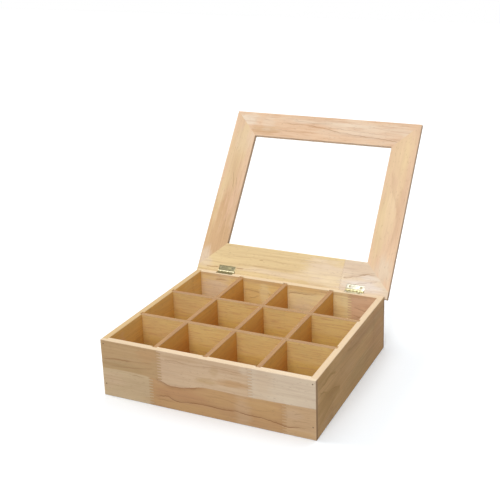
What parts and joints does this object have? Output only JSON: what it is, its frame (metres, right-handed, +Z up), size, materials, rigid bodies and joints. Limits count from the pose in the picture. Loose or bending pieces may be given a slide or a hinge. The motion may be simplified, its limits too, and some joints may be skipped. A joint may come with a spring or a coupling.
{
  "type": "tea bag organizer box",
  "caption": "Rectangular wooden box divided by cross-halved partitions into square compartments, with a mitred, glazed lid on brass butt hinges.",
  "frame": {"origin": "centre of the underside of the box", "axes": "+X to the right along the front, +Y from front to back, +Z up; the lid is open at rest"},
  "size_m": [0.339, 0.4717, 0.3229],
  "materials": {
    "box_wood": "satin",
    "divider_wood": "satin",
    "lid_wood": "satin",
    "bottom_ply": "matte",
    "window_glass": "clear",
    "hinge_brass": "satin",
    "screw_brass": "satin",
    "brad_steel": "dull"
  },
  "bodies": {
    "box": {"front_panel": "box_wood", "back_panel": "box_wood", "left_panel": "box_wood", "right_panel": "box_wood", "bottom_panel": "bottom_ply", "column_divider_left": "divider_wood", "column_divider_centre": "divider_wood", "column_divider_right": "divider_wood", "row_divider_front": "divider_wood", "row_divider_rear": "divider_wood", "left_hinge_box_leaf": "hinge_brass", "left_hinge_pin": "hinge_brass", "right_hinge_box_leaf": "hinge_brass", "right_hinge_pin": "hinge_brass", "left_hinge_box_screws": "screw_brass", "right_hinge_box_screws": "screw_brass", "front_brads": "brad_steel", "back_brads": "brad_steel"},
    "lid": {"lid_front_rail": "lid_wood", "lid_hinge_rail": "lid_wood", "lid_left_rail": "lid_wood", "lid_right_rail": "lid_wood", "lid_window": "window_glass", "lid_mitre_tongues": "bottom_ply", "left_hinge_lid_leaf": "hinge_brass", "right_hinge_lid_leaf": "hinge_brass", "left_hinge_lid_screws": "screw_brass", "right_hinge_lid_screws": "screw_brass"}
  },
  "joints": [
    {"name": "lid_hinge", "type": "hinge", "parent": "box", "child": "lid", "pos_m": [0, 0.1465, 0.0883], "axis": [1, 0, 0], "range_deg": [0, 126.86]}
  ]
}
